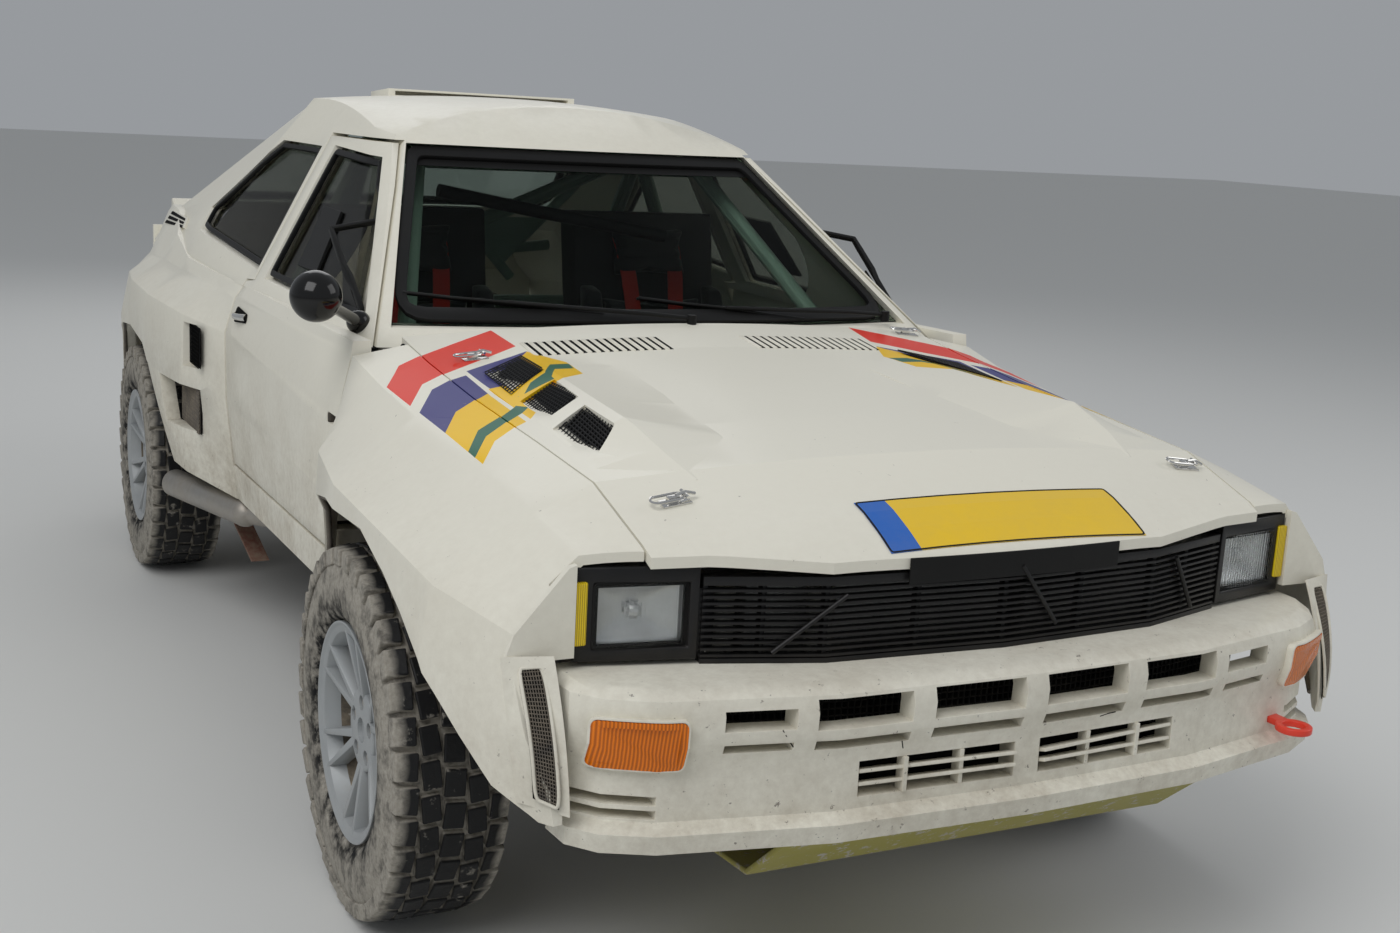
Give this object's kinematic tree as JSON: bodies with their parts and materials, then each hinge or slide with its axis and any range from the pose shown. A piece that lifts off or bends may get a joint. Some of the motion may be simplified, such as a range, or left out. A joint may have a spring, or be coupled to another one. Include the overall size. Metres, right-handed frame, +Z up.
{
  "type": "rally car",
  "caption": "Two-door four-wheel-drive rally coupe on raised suspension, with wide arches, opening doors, lift-off bonnet, steering and free-turning wheels.",
  "frame": {"origin": "on the ground, at the middle of the length and width", "axes": "+Z up, the nose faces -Y, +X is the left side of the car"},
  "size_m": [1.8096, 4.404, 1.5303],
  "materials": {
    "ivory_paint": "gloss off-white paint, light dust",
    "bumper_paint": "painted plastic, chipped",
    "black_plastic": "satin black",
    "clear_glass": "clear",
    "lamp_glass": "fluted",
    "red_lens": "moulded lens",
    "cage_paint": "pale green gloss",
    "under_metal": "satin black, muddy",
    "steel": "worn",
    "alloy": "raw core",
    "rim_paint": "silver-grey, dusty",
    "tyre_rubber": "muddy tread",
    "seat_cloth": "dark weave",
    "guard_paint": "olive-yellow, scratched",
    "hook_paint": "red gloss"
  },
  "bodies": {
    "chassis": {"sill_left": "ivory_paint", "sill_right": "ivory_paint", "wing_left": "ivory_paint", "wing_right": "ivory_paint", "quarter_left": "ivory_paint", "quarter_right": "ivory_paint", "cabin_shell": "ivory_paint", "tail_panel": "ivory_paint", "front_bumper": "bumper_paint", "rear_bumper": "bumper_paint", "grille": "black_plastic", "lamp_surrounds": "black_plastic", "dashboard": "black_plastic", "windscreen": "clear_glass", "rear_window": "clear_glass", "side_windows": "clear_glass", "headlamps": "lamp_glass", "tail_lamps": "red_lens", "roll_cage": "cage_paint", "floor_pan": "under_metal", "front_frame": "under_metal", "rear_frame": "under_metal", "bulkhead": "under_metal", "front_suspension": "under_metal", "rear_suspension": "under_metal", "rear_hubs": "steel", "exhaust": "steel", "engine": "alloy", "radiator": "alloy", "seat_left": "seat_cloth", "seat_right": "seat_cloth", "sump_guard": "guard_paint", "tow_hook": "hook_paint"},
    "door_left_body": {"door_left": "ivory_paint", "door_glass_left": "clear_glass"},
    "door_right_body": {"door_right": "ivory_paint", "door_glass_right": "clear_glass", "mirror_right": "black_plastic"},
    "bonnet_body": {"bonnet": "ivory_paint"},
    "boot_body": {"boot_lid": "ivory_paint"},
    "steer_left_body": {"knuckle_left": "steel"},
    "steer_right_body": {"knuckle_right": "steel"},
    "steering_wheel_body": {"steering_wheel": "black_plastic"},
    "wheel_front_left": {"rim_front_left": "rim_paint", "tyre_front_left": "tyre_rubber"},
    "wheel_front_right": {"rim_front_right": "rim_paint", "tyre_front_right": "tyre_rubber"},
    "wheel_rear_left": {"rim_rear_left": "rim_paint", "tyre_rear_left": "tyre_rubber"},
    "wheel_rear_right": {"rim_rear_right": "rim_paint", "tyre_rear_right": "tyre_rubber"}
  },
  "joints": [
    {"name": "steer_left", "type": "hinge", "parent": "chassis", "child": "steer_left_body", "pos_m": [0.745, -1.307, 0.352], "axis": [0, 0, 1], "range_deg": [-30, 30]},
    {"name": "steer_right", "type": "hinge", "parent": "chassis", "child": "steer_right_body", "pos_m": [-0.745, -1.307, 0.352], "axis": [0, 0, 1], "range_deg": [-30, 30]},
    {"name": "steering_wheel_turn", "type": "hinge", "parent": "chassis", "child": "steering_wheel_body", "pos_m": [0.345, -0.37, 0.86], "axis": [0, 0.9135, 0.4067], "range_deg": [-420, 420]},
    {"name": "spin_front_left", "type": "hinge", "parent": "steer_left_body", "child": "wheel_front_left", "pos_m": [0.792, -1.307, 0.352], "axis": [1, 0, 0], "continuous": true},
    {"name": "spin_front_right", "type": "hinge", "parent": "steer_right_body", "child": "wheel_front_right", "pos_m": [-0.792, -1.307, 0.352], "axis": [1, 0, 0], "continuous": true},
    {"name": "spin_rear_left", "type": "hinge", "parent": "chassis", "child": "wheel_rear_left", "pos_m": [0.792, 1.217, 0.352], "axis": [1, 0, 0], "continuous": true},
    {"name": "spin_rear_right", "type": "hinge", "parent": "chassis", "child": "wheel_rear_right", "pos_m": [-0.792, 1.217, 0.352], "axis": [1, 0, 0], "continuous": true},
    {"name": "door_left_hinge", "type": "hinge", "parent": "chassis", "child": "door_left_body", "pos_m": [0.792, -0.8, 0.7], "axis": [0, 0, -1], "range_deg": [0, 65]},
    {"name": "door_right_hinge", "type": "hinge", "parent": "chassis", "child": "door_right_body", "pos_m": [-0.792, -0.8, 0.7], "axis": [0, 0, 1], "range_deg": [0, 65]},
    {"name": "bonnet_lift", "type": "slide", "parent": "chassis", "child": "bonnet_body", "axis": [0, 0, 1], "range_m": [0, 0.6]},
    {"name": "boot_hinge", "type": "hinge", "parent": "chassis", "child": "boot_body", "pos_m": [0, 1.664, 1.104], "axis": [1, 0, 0], "range_deg": [0, 65]}
  ],
  "couplings": [
    {"joint": "steer_right", "follows": "steer_left", "ratio": 1},
    {"joint": "steering_wheel_turn", "follows": "steer_left", "ratio": 14}
  ]
}
